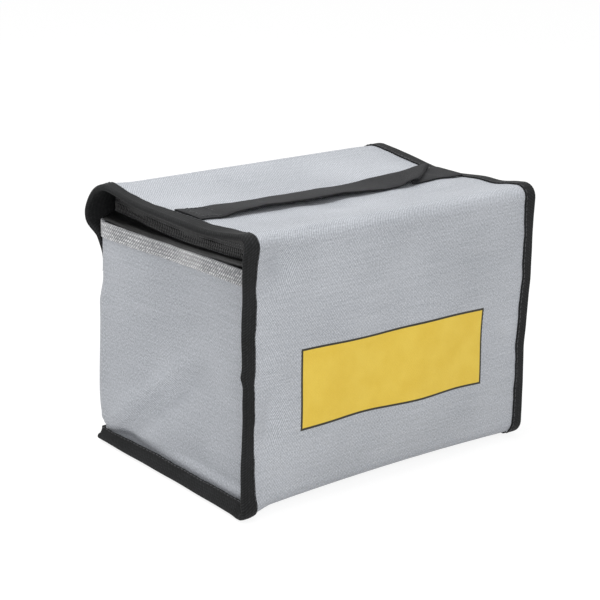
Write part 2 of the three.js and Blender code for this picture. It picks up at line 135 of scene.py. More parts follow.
def mesh_piece(name, points, faces, uv, material, sharp=55):
    """A mesh object from points in millimetres and four-sided faces, turned so that its faces point outwards."""
    corner = points[faces]
    first = np.einsum("ij,ij->i", corner[:, 0], np.cross(corner[:, 1], corner[:, 2])).sum()
    second = np.einsum("ij,ij->i", corner[:, 0], np.cross(corner[:, 2], corner[:, 3])).sum()
    if first + second < 0:
        faces = faces[:, ::-1]
    mesh = bpy.data.meshes.new(name)
    mesh.from_pydata((points * MM).tolist(), [], faces.tolist())
    layer = mesh.uv_layers.new(name="Cloth")
    loop_vertex = np.zeros(len(mesh.loops), np.int32)
    mesh.loops.foreach_get("vertex_index", loop_vertex)
    layer.data.foreach_set("uv", (uv[loop_vertex] * MM).astype(np.float32).ravel())
    mesh.polygons.foreach_set("use_smooth", np.ones(len(mesh.polygons), bool))
    mesh.set_sharp_from_angle(angle=math.radians(sharp))
    mesh.materials.append(material)
    piece = bpy.data.objects.new(name, mesh)
    bpy.context.scene.collection.objects.link(piece)
    return piece


def shell(name, outer, inner, uv, material, sharp=55):
    """A closed skin between an outer and an inner grid of points: rows of closed loops, with a ladder at each end."""
    rows, columns = outer.shape[:2]
    around = 2 * columns
    points = np.concatenate([outer, inner[:, ::-1]], 1).reshape(-1, 3)
    flat = np.concatenate([uv, uv[:, ::-1]], 1).reshape(-1, 2)
    i, j = np.meshgrid(np.arange(rows - 1), np.arange(around), indexing="ij")
    a = i * around + j
    b = i * around + (j + 1) % around
    sides = np.stack([a, b, b + around, a + around], -1).reshape(-1, 4)
    k = np.arange(columns - 1)
    ladder = np.stack([k + 1, k, around - 1 - k, around - 2 - k], 1)
    far = ladder[:, ::-1] + (rows - 1) * around
    return mesh_piece(name, points, np.concatenate([sides, ladder, far]), flat, material, sharp)


def cloth(name, grid, material, thickness=CLOTH, uv=None):
    """A layer of cloth of even thickness about a grid of points."""
    out = normals(grid) * thickness / 2
    return shell(name, grid + out, grid - out, lengths(grid) if uv is None else uv, material)


def stitches(name, middle, along, up, length, radius, material):
    """Short fat threads, each tapered at both ends, lying along the given directions."""
    along = along / np.linalg.norm(along, axis=1, keepdims=True)
    side = np.cross(along, up)
    side = side / np.linalg.norm(side, axis=1, keepdims=True)
    up = np.cross(side, along)
    ends = np.array([-1, -0.62, 0.62, 1]) * length / 2
    fat = np.array([0.35, 1, 1, 0.35]) * radius
    turn = np.radians([45, 135, 225, 315])
    ring = (
        along[:, None, None] * ends[None, :, None, None]
        + side[:, None, None] * (fat[:, None] * np.cos(turn))[None, :, :, None]
        + up[:, None, None] * (fat[:, None] * np.sin(turn))[None, :, :, None]
    )
    points = (middle[:, None, None] + ring).reshape(-1, 3)
    i, j = np.meshgrid(np.arange(3), np.arange(4), indexing="ij")
    a = i * 4 + j
    b = i * 4 + (j + 1) % 4
    one = np.stack([a, b, b + 4, a + 4], -1).reshape(-1, 4)
    one = np.concatenate([one, [[3, 2, 1, 0], [12, 13, 14, 15]]])
    faces = (np.arange(len(middle))[:, None, None] * 16 + one[None]).reshape(-1, 4)
    uv = np.tile(np.arange(len(middle))[:, None] * 1.0, (1, 16)).reshape(-1, 1)
    return mesh_piece(name, points, faces, np.concatenate([uv, uv * 0], 1), material, 180)


def wander(s, *terms):
    """A sum of slow waves: each term is (height, wavelength, start)."""
    return sum(h * np.sin(2 * math.pi * s / w + p) for h, w, p in terms)


# ---------------------------------------------------------------- materials
def rgb(red, green, blue):
    """A colour given as on a screen, as linear light."""
    c = np.array([red, green, blue]) / 255
    c = np.where(c <= 0.04045, c / 12.92, ((c + 0.055) / 1.055) ** 2.4)
    return (float(c[0]), float(c[1]), float(c[2]), 1.0)


def node(tree, kind, inputs=None, **settings):
    """Adds a node. An input is a socket to link or a value to set."""
    made = tree.nodes.new(kind)
    for key, value in settings.items():
        setattr(made, key, value)
    for key, value in (inputs or {}).items():
        if isinstance(value, bpy.types.NodeSocket):
            tree.links.new(value, made.inputs[key])
        else:
            made.inputs[key].default_value = value
    return made


def calc(tree, operation, a, b=0.0, c=0.0):
    return node(tree, "ShaderNodeMath", {0: a, 1: b, 2: c}, operation=operation).outputs[0]


def spread(tree, value, low, high, to_low=0.0, to_high=1.0):
    """Maps value from low..high to to_low..to_high and stops at the ends."""
    keys = {"Value": value, "From Min": low, "From Max": high, "To Min": to_low, "To Max": to_high}
    return node(tree, "ShaderNodeMapRange", keys).outputs["Result"]


def mix(tree, factor, a, b):
    made = node(tree, "ShaderNodeMix", {"Factor": factor}, data_type="RGBA")
    for key, value in ((6, a), (7, b)):
        if isinstance(value, bpy.types.NodeSocket):
            tree.links.new(value, made.inputs[key])
        else:
            made.inputs[key].default_value = value
    return made.outputs[2]


def group(name, inputs, outputs):
    tree = bpy.data.node_groups.new(name, "ShaderNodeTree")
    for label, kind, value in inputs:
        socket = tree.interface.new_socket(label, in_out="INPUT", socket_type=kind)
        if value is not None:
            socket.default_value = value
    for label in outputs:
        tree.interface.new_socket(label, in_out="OUTPUT", socket_type="NodeSocketFloat")
    return tree, tree.nodes.new("NodeGroupInput").outputs, tree.nodes.new("NodeGroupOutput").inputs


def weave_group():
    """Slanting rows of small raised cells, as in coated woven cloth, with uneven yarns."""
    inputs = [("Vector", "NodeSocketVector", None), ("Pitch", "NodeSocketFloat", 0.0012)]
    tree, given, result = group("Weave", inputs, ["Height", "Tone"])
    size = calc(tree, "DIVIDE", 1.0, given["Pitch"])
    scaled = node(tree, "ShaderNodeVectorMath", {0: given["Vector"], 3: size}, operation="SCALE").outputs[0]
    bend = node(tree, "ShaderNodeTexNoise", {"Vector": scaled, "Scale": 0.11, "Detail": 1.0}).outputs[0]
    parts = node(tree, "ShaderNodeSeparateXYZ", {0: scaled}).outputs
    u = calc(tree, "ADD", parts[0], calc(tree, "MULTIPLY", bend, 1.6))
    v = calc(tree, "ADD", parts[1], calc(tree, "MULTIPLY", bend, 1.1))
    slant = calc(tree, "MULTIPLY_ADD", v, 0.5, u)
    wave_u = calc(tree, "SINE", calc(tree, "MULTIPLY", slant, 2 * math.pi))
    wave_v = calc(tree, "SINE", calc(tree, "MULTIPLY", v, 2 * math.pi))
    cell = calc(tree, "MULTIPLY_ADD", calc(tree, "MULTIPLY", wave_u, wave_v), 0.5, 0.5)
    fuzz = node(tree, "ShaderNodeTexNoise", {"Vector": scaled, "Scale": 1.1, "Detail": 2.0}).outputs[0]
    rough = spread(tree, fuzz, 0.25, 0.75, 0.35, 1.0)
    tree.links.new(calc(tree, "MULTIPLY", cell, rough), result["Height"])
    stretch = node(tree, "ShaderNodeMapping", {"Vector": scaled, "Scale": (0.03, 0.9, 1.0)}).outputs[0]
    yarn = node(tree, "ShaderNodeTexNoise", {"Vector": stretch, "Scale": 1.0, "Detail": 2.0}).outputs[0]
    tree.links.new(yarn, result["Tone"])
    return tree


def rib_group():
    """Fine slanting ribs of narrow woven tape, broken into short lengths."""
    inputs = [
        ("Vector", "NodeSocketVector", None),
        ("Pitch", "NodeSocketFloat", 0.001),
        ("Slant", "NodeSocketFloat", 0.6),
    ]
    tree, given, result = group("Ribs", inputs, ["Height", "Tone"])
    size = calc(tree, "DIVIDE", 1.0, given["Pitch"])
    scaled = node(tree, "ShaderNodeVectorMath", {0: given["Vector"], 3: size}, operation="SCALE").outputs[0]
    parts = node(tree, "ShaderNodeSeparateXYZ", {0: scaled}).outputs
    slant = calc(tree, "MULTIPLY_ADD", parts[1], given["Slant"], parts[0])
    rib = calc(tree, "SINE", calc(tree, "MULTIPLY", slant, 2 * math.pi))
    bead = calc(tree, "SINE", calc(tree, "MULTIPLY", parts[1], 2 * math.pi * 0.8))
    both = calc(tree, "ADD", calc(tree, "MULTIPLY", rib, 0.32), calc(tree, "MULTIPLY", bead, 0.14))
    fuzz = node(tree, "ShaderNodeTexNoise", {"Vector": scaled, "Scale": 0.9, "Detail": 3.0}).outputs[0]
    height = calc(tree, "MULTIPLY", calc(tree, "ADD", both, 0.5), spread(tree, fuzz, 0.3, 0.7, 0.5, 1.1))
    tree.links.new(height, result["Height"])
    slow = node(tree, "ShaderNodeTexNoise", {"Vector": scaled, "Scale": 0.05, "Detail": 3.0}).outputs[0]
    tree.links.new(slow, result["Tone"])
    return tree


WEAVE = weave_group()
RIBS = rib_group()


def blank_material(name):
    made = bpy.data.materials.new(name)
    made.use_nodes = True
    tree = made.node_tree
    tree.nodes.clear()
    output = tree.nodes.new("ShaderNodeOutputMaterial")
    shader = tree.nodes.new("ShaderNodeBsdfPrincipled")
    tree.links.new(shader.outputs[0], output.inputs[0])
    return made, tree, shader


def set_shader(tree, shader, values):
    for key, value in values.items():
        if isinstance(value, bpy.types.NodeSocket):
            tree.links.new(value, shader.inputs[key])
        else:
            shader.inputs[key].default_value = value


def bump(tree, height, distance, strength=1.0):
    keys = {"Height": height, "Distance": distance, "Strength": strength}
    return node(tree, "ShaderNodeBump", keys).outputs[0]


def unrolled(tree):
    return node(tree, "ShaderNodeUVMap", uv_map="Cloth").outputs[0]


def brighter(tree, colour, factor):
    """colour times factor, which may be a socket."""
    made = node(tree, "ShaderNodeVectorMath", {0: colour, 3: factor}, operation="SCALE")
    return made.outputs[0]


def woven_material(name, light, dark, pitch=0.0012, roughness=0.55, depth=0.0002, sheen=0.0, print_patch=None):
    """Coated woven cloth: raised cells painted lighter than the gaps as painted shade of the weave's relief, slow
    changes of tone, a faint yarn streak.
    """
    made, tree, shader = blank_material(name)
    where = unrolled(tree)
    weave = node(tree, "ShaderNodeGroup", node_tree=WEAVE)
    tree.links.new(where, weave.inputs["Vector"])
    weave.inputs["Pitch"].default_value = pitch
    height = weave.outputs["Height"]
    slow = node(tree, "ShaderNodeTexNoise", {"Vector": where, "Scale": 14.0, "Detail": 3.0}).outputs[0]
    yarn = spread(tree, weave.outputs["Tone"], 0.3, 0.7, -0.05, 0.05)
    # painted shade: the weave's low gaps are painted toward the dark colour and its raised cells toward the light one,
    # following the bump height
    cell_shade = spread(tree, height, 0.0, 0.75)
    fade = calc(tree, "ADD", calc(tree, "ADD", cell_shade, yarn), spread(tree, slow, 0.3, 0.7, -0.08, 0.08))
    colour = mix(tree, fade, dark, light)
    if print_patch:
        colour = print_patch(tree, where, colour, height)
    values = {"Base Color": colour, "Roughness": roughness, "Normal": bump(tree, height, depth, 0.8)}
    values.update({"Specular IOR Level": 0.35, "Sheen Weight": sheen, "Sheen Roughness": 0.5})
    set_shader(tree, shader, values)
    return made


def tape_material(name, light, dark, pitch=0.001, slant=0.6, roughness=0.8, depth=0.00016, sheen=0.25):
    """Narrow woven tape with slanting ribs painted lighter on their crests and darker in their grooves as painted
    shade, worn a little lighter in patches.
    """
    made, tree, shader = blank_material(name)
    where = unrolled(tree)
    ribs = node(tree, "ShaderNodeGroup", node_tree=RIBS)
    tree.links.new(where, ribs.inputs["Vector"])
    ribs.inputs["Pitch"].default_value = pitch
    ribs.inputs["Slant"].default_value = slant
    height = ribs.outputs["Height"]
    wear = spread(tree, ribs.outputs["Tone"], 0.35, 0.7, -0.12, 0.22)
    # painted shade: rib crests are painted toward the light colour and grooves toward the dark one by the ribs'
    # height; the wear patches are random tone
    colour = mix(tree, calc(tree, "ADD", spread(tree, height, 0.25, 0.95), wear), dark, light)
    values = {"Base Color": colour, "Roughness": roughness, "Normal": bump(tree, height, depth, 0.9)}
    values.update({"Specular IOR Level": 0.3, "Sheen Weight": sheen, "Sheen Roughness": 0.4})
    set_shader(tree, shader, values)
    return made


def thread_material(name, colour, roughness=0.6):
    """Sewing thread, each stitch a slightly different tone."""
    made, tree, shader = blank_material(name)
    where = unrolled(tree)
    big = node(tree, "ShaderNodeVectorMath", {0: where, 3: 731.0}, operation="SCALE").outputs[0]
    tone = node(tree, "ShaderNodeTexWhiteNoise", {"Vector": big}, noise_dimensions="3D").outputs[0]
    values = {"Base Color": brighter(tree, mix(tree, 0.0, colour, colour), spread(tree, tone, 0, 1, 0.55, 1.45))}
    values.update({"Roughness": roughness, "Specular IOR Level": 0.3, "Sheen Weight": 0.2})
    set_shader(tree, shader, values)
    return made


# the one long strip of cloth: bottom, bottom fold, front, top fold, lid
COVER = Path(
    line((83.4, BOTTOM_Z), (-64.2, BOTTOM_Z), 160),
    arc((-64.2, 9.8), 8.0, 270, 180),
    line((FRONT_Y, 9.8), (FRONT_Y, 151.2), 160),
    arc((-65.2, 151.2), 7.0, 180, 90),
    line((-65.2, TOP_Z), (62.0, TOP_Z), 160),
)
S_LOW_FOLD = COVER.where(1, 4.1, 140, 170)
S_FRONT = COVER.where(1, 9.8, 150, 200)
S_TOP_FOLD = COVER.where(1, 156.1, 290, 320)
S_LID = COVER.length - LID_LENGTH
S_LABEL = S_FRONT + (67.0 - 9.8)


def label_patch(tree, where, colour, height):
    """A plain yellow printed panel with a thin dark border, a little wavy and unevenly inked."""
    parts = node(tree, "ShaderNodeSeparateXYZ", {0: where}).outputs
    wave = node(tree, "ShaderNodeTexNoise", {"Vector": where, "Scale": 15.0, "Detail": 0.5}).outputs[0]
    offset = spread(tree, wave, 0.2, 0.8, -0.0016, 0.0016)
    u = calc(tree, "ADD", parts[0], offset)
    v = calc(tree, "ADD", calc(tree, "MULTIPLY_ADD", u, 0.0165, parts[1]), offset)
    du = calc(tree, "SUBTRACT", calc(tree, "ABSOLUTE", calc(tree, "SUBTRACT", u, 0.0003)), 0.0692)
    dv = calc(tree, "SUBTRACT", calc(tree, "ABSOLUTE", calc(tree, "SUBTRACT", v, S_LABEL * MM)), 0.0238)
    away = calc(tree, "MAXIMUM", du, dv)
    ink = node(tree, "ShaderNodeTexNoise", {"Vector": where, "Scale": 60.0, "Detail": 4.0}).outputs[0]
    yellow = mix(tree, spread(tree, ink, 0.35, 0.65), rgb(226, 192, 68), rgb(231, 199, 77))
    # painted shade: the yellow is a little darker in the weave's gaps and a little lighter on its raised cells,
    # following the bump height
    yellow = brighter(tree, yellow, spread(tree, height, 0.0, 0.8, 0.955, 1.02))
    colour = mix(tree, spread(tree, away, 0.0001, -0.0001), colour, rgb(44, 42, 30))
    return mix(tree, spread(tree, away, -0.0012, -0.0014), colour, yellow)


# light is the colour of the weave's raised cells and dark the colour of its gaps; most of the step between them is
# painted shade of the weave's relief
SILVER_LIGHT, SILVER_DARK = rgb(219, 222, 228), rgb(122, 126, 132)
SILVER = woven_material("Silver coated cloth", SILVER_LIGHT, SILVER_DARK)
COVER_SILVER = woven_material(
    "Silver coated cloth with a printed panel", SILVER_LIGHT, SILVER_DARK, print_patch=label_patch
)
HEM_SILVER = tape_material(
    "Silver selvage", rgb(250, 250, 251), rgb(118, 119, 122), pitch=0.0019, slant=0.9, roughness=0.6, sheen=0.0
)
LINING = woven_material("Grey lining cloth", rgb(172, 174, 178), rgb(140, 142, 147), pitch=0.0016, roughness=0.7)
BINDING = tape_material("Black binding tape", rgb(38, 39, 41), rgb(3, 4, 4), pitch=0.0016, sheen=0.02)
ZIP_TAPE = tape_material(
    "Black zip tape", rgb(11, 12, 13), rgb(3, 3, 3), pitch=0.0012, slant=0.0, roughness=0.38, sheen=0.0
)
WEBBING = tape_material("Black webbing", rgb(40, 41, 45), rgb(6, 6, 8), pitch=0.0014, slant=1.0, sheen=0.03)
BLACK_THREAD = thread_material("Black sewing thread", rgb(46, 47, 50))
GREY_THREAD = thread_material("Grey zip stitching", rgb(70, 71, 74))
PALE_THREAD = thread_material("Pale sewing thread", rgb(212, 212, 214))
COIL = thread_material("Black zip coil", rgb(12, 12, 13), 0.4)
PILE = tape_material(
    "Black hook and loop tape", rgb(46, 46, 50), rgb(14, 14, 16), pitch=0.0009, slant=0.3, sheen=0.6
)


def metal_material():
    """Black painted die-cast metal, rubbed to bare metal along its edges."""
    made, tree, shader = blank_material("Black painted slider metal")
    geometry = node(tree, "ShaderNodeNewGeometry")
    place = node(tree, "ShaderNodeTexCoord").outputs["Object"]
    speckle = node(tree, "ShaderNodeTexNoise", {"Vector": place, "Scale": 900.0, "Detail": 4.0}).outputs[0]
    soft = node(tree, "ShaderNodeBevel", {"Radius": 0.0004}, samples=4).outputs[0]
    same = node(tree, "ShaderNodeVectorMath", {0: soft, 1: geometry.outputs["Normal"]}, operation="DOT_PRODUCT")
    edge = spread(tree, same.outputs["Value"], 0.995, 0.9)
    worn = calc(tree, "MULTIPLY", edge, spread(tree, speckle, 0.42, 0.6))
    colour = mix(tree, worn, rgb(38, 38, 40), rgb(122, 120, 118))
    values = {"Base Color": colour, "Metallic": 0.85, "Roughness": spread(tree, speckle, 0.3, 0.7, 0.28, 0.46)}
    values["Normal"] = soft
    set_shader(tree, shader, values)
    return made


METAL = metal_material()


# ---------------------------------------------------------------- the long strip
def back_lift(x):
    """How far the fold behind the lid stands up, more at its left end."""
    return 1.0 + 1.2 * ease(-x, 84, 103) - 0.6 * ease(x, 84, 103)


def edge_tilt(x):
    """How far the lid's bound left edge tips down."""
    return 1.3 * ease(-x, 97, 108)


def cover(x, s):
    """Middle surface of the long strip at x across and s along it, with its sags, folds and puckers."""
    y, z = COVER.at(s)
    out_y, out_z = COVER.left(s)
    x = (x + 0 * s) * (1 - 0.091 * (1 - ease(s, 9.2, 9.5)))
    edge = np.abs(x) / 97.0
    # lid: hangs between the two folds, most in the middle
    t = np.clip((y - LID_FRONT_Y) / LID_LENGTH, 0, 1) * (s > S_LID - 1)
    droop = 2.3 + 2.7 * (1 - np.clip(edge, 0, 1) ** 2.2)
    sag = droop * 4 * t * (1 - t)
    on_lid = ease(s, S_LID - 2, S_LID + 12)
    sag = sag + on_lid * 1.4 * hill(y, -46, 10) * ease(x, 62, 100)
    sag = sag + on_lid * 3.4 * hill(y, 2, 30) * ease(x, 76, 103)
    sag = sag + on_lid * 0.8 * hill(y, -30, 14) * ease(-x, 60, 100)
    sag = sag - on_lid * hill(y, 62, 22) * back_lift(x)
    sag = sag + on_lid * edge_tilt(x) * ease(y, -66, -42)
    ripple = wander(x + 0.3 * y, (0.28, 61, 0.4), (0.18, 33, 2.0)) * on_lid * (1 - ease(y, 44, 60))
    # front: a slight belly, a dent under the top left corner, puckers beside the bindings
    on_front = ease(s, S_FRONT - 6, S_FRONT + 18) * (1 - ease(s, S_LID - 26, S_LID - 8))
    belly = 0.9 * on_front * (1 - np.clip(edge, 0, 1) ** 2)
    dent = -3.8 * hill(x, -84, 10) * hill(z, 141, 11)
    pucker = -3.4 * hill(x, -89, 7) * hill(z, 56, 14) + 1.2 * hill(x, -84, 9) * hill(z, 84, 14)
    pucker = pucker - 1.1 * hill(x, -90, 7) * hill(z, 16, 9)
    ridges = wander(z + 0.35 * x, (0.55, 27, 1.0), (0.35, 17, 0.2)) * ease(np.abs(x), 74, 94)
    ridges = ridges * (1 - 0.75 * ease(np.abs(x), 92, 101))
    slow = wander(x - 0.4 * z, (0.55, 118, 0.6), (0.35, 67, 2.2)) + wander(z + 0.5 * x, (0.4, 73, 1.1))
    swell = on_front * (belly + pucker + slow * 0.9 + ridges * 0.6) + (s < S_LID) * (s > S_FRONT) * dent
    # folds: squarer where the binding pulls them at the left end
    pull = ease(-x, 84, 104)
    square = pull * (2.8 * hill(s, S_LOW_FOLD, 4) + 2.2 * hill(s, S_TOP_FOLD, 4.5))
    square = square + 0.6 * ease(x, 88, 104) * hill(s, S_TOP_FOLD, 5)
    soft_fold = -0.7 * (1 - ease(np.abs(x), 60, 98)) * hill(s, S_TOP_FOLD, 8)
    # bottom: rests on the ground between the bindings, its front fold bowed up a little in the middle
    bow = 2.2 * (1 - np.clip(np.abs(x - 4) / 98, 0, 1) ** 2) * hill(s, S_LOW_FOLD, 26)
    rest = -1.1 * (1 - ease(np.abs(x), 88, 97)) * (1 - ease(s, S_LOW_FOLD - 40, S_LOW_FOLD - 12))
    rest = rest * ease(s, 9, 14)
    d = swell + square + soft_fold + ripple
    return np.stack([x, y + out_y * d, z + out_z * d - sag + bow + rest], -1)


COVER_X = np.linspace(-EDGE_X, EDGE_X, 140)
COVER_ROWS = np.concatenate([[0, 2.5, 5, 7.5, 9.2, 9.5], np.linspace(10.5, COVER.length, 284)])
rows, across = np.meshgrid(COVER_ROWS, COVER_X, indexing="ij")
cover_uv = np.stack([across, rows], -1)
cover_cloth = cloth("cover_cloth", cover(across, rows), COVER_SILVER, uv=cover_uv)

FLAP = Path(
    arc((62.0, 136.2), 22.0, 90, 0, 80),
    np.stack([84 - 6 * ease(np.linspace(0, 1, 30), 0, 1), np.linspace(136.2, 126, 30)], 1),
    line((78.0, 126.0), (78.0, 104.9), 40),
)


def flap(x, s):
    """Middle surface of the back flap: the round fold behind the lid, then the part over the zip."""
    y, z = FLAP.at(s)
    out_y, out_z = FLAP.left(s)
    x = x + 0 * s
    side = ease(np.abs(x), 84, 103)
    lift = back_lift(x) * hill(s, 0, 16) - edge_tilt(x) * hill(s, 0, 12) + side * 0.8 * hill(s, 32, 10)
    lift = lift - 1.2 * side * ease(s, 48, 62)
    x = x * (1 - 0.07 * ease(s, 28, 60))
    wave = wander(x, (0.5, 74, 0.3), (0.3, 41, 1.9)) * ease(s, 6, 40)
    return np.stack([x, y + out_y * (lift + wave * 0.6), z + out_z * (lift + wave * 0.6)], -1)


rows, across = np.meshgrid(np.linspace(0, FLAP.length, 64), COVER_X, indexing="ij")
flap_cloth = cloth("flap_cloth", flap(across, rows), SILVER, uv=np.stack([across, rows + COVER.length], -1))

# ---------------------------------------------------------------- the wall strip
WALL = Path(
    line((-96.8, -70.4), (-96.8, 66.3), 120),
    arc((-89.8, 66.3), 7.0, 180, 90),
    line((-89.8, BACK_Y), (89.8, BACK_Y), 120),
    arc((89.8, 66.3), 7.0, 90, 0),
    line((96.8, 66.3), (96.8, -70.4), 120),
)
WALL_LOW = 3.2


def wall(s, z):
    """Middle surface of the U-shaped strip: full at its back corners, turned out at its edges."""
    x, y = WALL.at(s)
    out_x, out_y = WALL.left(s)
    z = z + 0 * s
    from_end = np.minimum(s, WALL.length - s)
    left_end = s < WALL.length / 2
    share = np.where(left_end, 1.0, 0.75)
    seam = 1 - ease(z, 7.5, 14)
    near = 1 - ease(from_end, 150, 190)
    high = ease(z, 86, 104)
    side = (8.5 - 1.0 * high) * ease(from_end, 56, 138) * share
    back = (5.0 - 3.4 * high) * near * share
    square_x = np.clip(np.abs(out_x) * 1.41, 0, 1) * np.sign(out_x)
    square_y = np.clip(np.abs(out_y) * 1.41, 0, 1)
    low_side = 2.1 + 3.2 * ease(from_end, 108, 138)
    push_x = square_x * (low_side * seam + side * (1 - seam))
    push_y = square_y * ((2.5 + 2.0 * near) * seam + back * (1 - seam))
    turned = 2.6 * (1 - ease(from_end, 0, 6)) ** 1.5 * (1 - seam)
    # one long slanting crease rises from the low back corner of each end
    run = from_end * 1.0
    along = ((140 - run) * 0.77 + (z - 5) * 0.63)
    beside = (z - 5) * 0.77 - (140 - run) * 0.63
    fade = ease(along, -4, 12) * (1 - ease(along, 78, 128)) * (from_end < 139)
    crease = fade * (2.3 * hill(beside, 2, 6) - 3.0 * hill(beside, -7, 7))
    pinch = -1.4 * hill(from_end, 134, 7) * hill(z, 15, 5)
    level = 0.5 * hill(z - 0.08 * from_end, 70, 9) * ease(from_end, 70, 120) * (from_end < 139)
    slow = wander(s + 0.5 * z, (0.7, 131, 1.0), (0.4, 59, 0.3)) + wander(z - 0.3 * s, (0.5, 88, 2.0))
    slow = slow * ease(z, 10, 34) * (1 - ease(z, 118, 134)) * ease(from_end, 4, 24)
    d = turned + crease + pinch + level + slow * (0.5 + 0.5 * near)
    sag = 0.8 * ease(z, 100, 138) * hill(from_end, 70, 40)
    return np.stack([x + out_x * d + push_x, y + out_y * d + push_y, z - sag], -1)


rows, across = np.meshgrid(np.linspace(0, WALL.length, 330), np.linspace(WALL_LOW, 137.0, 90), indexing="ij")
wall_cloth = cloth("wall_cloth", wall(rows, across), SILVER, uv=np.stack([rows, across], -1))

# the wall's top edge: a folded selvage with slanting yarns and a frayed, saw-toothed edge
hem_s = np.linspace(3.5, WALL.length - 3.5, 1180)
hem_t = np.array([0, 0.06, 0.3, 0.55, 0.8, 0.92, 1.0])
rows, across = np.meshgrid(hem_s, hem_t, indexing="ij")
teeth = np.abs(((rows / 1.9) % 1.0) - 0.5) * 1.1
hem_z = 128.6 + across * (9.0 + teeth * ease(across, 0.7, 1.0)) + wander(rows, (0.25, 37, 0.0)) * (1 - across)
hem_mid = wall(rows, np.minimum(hem_z, 137.0))
hem_mid[..., 2] += np.maximum(hem_z - 137.0, 0)
hem_out = np.stack([*WALL.left(rows), rows * 0], -1)
hem_mid = hem_mid + hem_out * 1.1
wall_hem = shell("wall_hem", hem_mid + hem_out * 0.4, hem_mid - hem_out * 0.4, lengths(hem_mid), HEM_SILVER)


def wall_stitches(name, surface, z_line, pitch, length, radius, material, off, start, tilt, jitter):
    """A row of stitches along the wall at one height; tilt swings each one alternately up and down."""
    s = np.arange(start, WALL.length - start, pitch)
    shake = np.sin(s * 12.9898) * jitter
    z = z_line + shake + 0 * s
    middle = surface(s, z)
    out = np.stack([*WALL.left(s), s * 0], -1)
    ahead = surface(s + 0.5, z) - surface(s - 0.5, z)
    ahead[:, 2] += np.sign(np.sin(s * math.pi / pitch + 0.5)) * tilt + np.sin(s * 7.3) * tilt * 0.5
    return stitches(name, middle + out * off, ahead, out, length, radius, material)


hem_rows = [
    wall_stitches("hem_stitches_low", wall, 128.3, 1.6, 1.5, 0.22, PALE_THREAD, 0.9, 5, 0.4, 0.2),
    wall_stitches("hem_stitches_high", wall, 130.0, 2.1, 1.5, 0.2, PALE_THREAD, 1.5, 5, 0.15, 0.1),
]

# ---------------------------------------------------------------- linings
rows, across = np.meshgrid(np.linspace(6, WALL.length - 6, 200), np.linspace(4.6, 131.0, 60), indexing="ij")
inward = np.stack([*WALL.left(rows), rows * 0], -1)
lining_mid = wall(rows, np.maximum(across, 9)) - inward * 1.7
lining_mid[..., 2] += across - np.maximum(across, 9)
wall_lining = cloth("wall_lining", lining_mid, LINING, 0.8, np.stack([rows, across], -1))


def cover_lining(name, s_low, s_high, count):
    """Lining that lies against the inside of the long strip, from s_low to s_high along it."""
    rows, across = np.meshgrid(np.linspace(s_low, s_high, count), np.linspace(-93.6, 93.6, 90), indexing="ij")
    out_y, out_z = COVER.left(rows)
    grid = cover(across, rows) - np.stack([rows * 0, out_y, out_z], -1) * 1.6
    return cloth(name, grid, LINING, 0.8, np.stack([across, rows], -1))


front_lining = cover_lining("front_lining", 14, S_FRONT + 139, 180)
lid_lining = cover_lining("lid_lining", S_LID + 3, COVER.length - 1, 80)


# ---------------------------------------------------------------- bindings
def bound_edge(name, path, surface, s, side, outside, inside, rise, start=0.0):
    """Folded tape round a cloth's side edge, with a row of stitches on each face.

    Its section is a U of even thickness: an outside leg, a round fold, and an inside leg that rises off
    the cloth.
    outside and inside are the legs' widths and rise the inside leg's lift, each along s; side is -1 or 1.
    """
    q = np.linspace(1, 0, 9)
    turn = np.radians(np.linspace(90, -90, 11))[1:-1]
    out_y, out_z = path.left(s)
    out_y, out_z = out_y[:, None], out_z[:, None]
    wave = wander(s + start, (0.25, 29, 0.2 * side), (0.14, 13, 1.0), (0.3, 107, side))
    edge = OUT_X + wander(s + start, (0.12, 37, 1.3), (0.25, 121, 0.1))
    if side < 0:
        edge = edge + 0.9 * hill(s, S_FRONT + 73, 3.0) - 0.5 * hill(s, S_FRONT + 66, 5.0)

    def legs(fat, radius):
        """Distance in from the fold and height off the cloth, round the section."""
        top_w = 1.8 + q[None] * (outside + wave + edge - OUT_X - 1.8)[:, None]
        low_w = 1.8 + q[None, ::-1] * (inside + wave * 0.7 + edge - OUT_X - 1.8)[:, None]
        top_h = 1.8 - 0.28 * q[None] ** 3 - fat + 0 * top_w
        low_h = -1.8 - rise[:, None] * q[None, ::-1] ** 1.5 + 0.2 * q[None, ::-1] ** 3 + fat
        arc_w = 1.8 - radius * np.cos(turn)[None] + 0 * s[:, None]
        arc_h = radius * np.sin(turn)[None] + 0 * s[:, None]
        return np.concatenate([top_w, arc_w, low_w], 1), np.concatenate([top_h, arc_h, low_h], 1)

    def place(w, h):
        grid = surface(side * (edge[:, None] - w), s[:, None] + 0 * w)
        return grid + np.stack([0 * w, out_y * h, out_z * h], -1)

    outer_w, outer_h = legs(0.0, 1.8)
    inner_w, inner_h = legs(TAPE, 1.8 - TAPE)
    outer = place(outer_w, outer_h)
    piece = shell(name, outer, place(inner_w, inner_h), lengths(outer), BINDING)
    rows = []
    pitch = 3.2
    at = np.arange(s[0] + 2, s[-1] - 2, pitch)
    for label, column, sign in (("outside", 1, 1), ("inside", -2, -1)):
        line_at = np.stack([np.interp(at, s, outer[:, column, k]) for k in range(3)], -1)
        ahead = np.stack([np.interp(at + 0.8, s, outer[:, column, k]) for k in range(3)], -1) - line_at
        ny, nz = path.left(at)
        up = np.stack([at * 0, ny, nz], -1) * sign
        rows.append(stitches(name + "_" + label, line_at + up * 0.08, ahead, up, 2.5, 0.3, BLACK_THREAD))
    return piece, rows


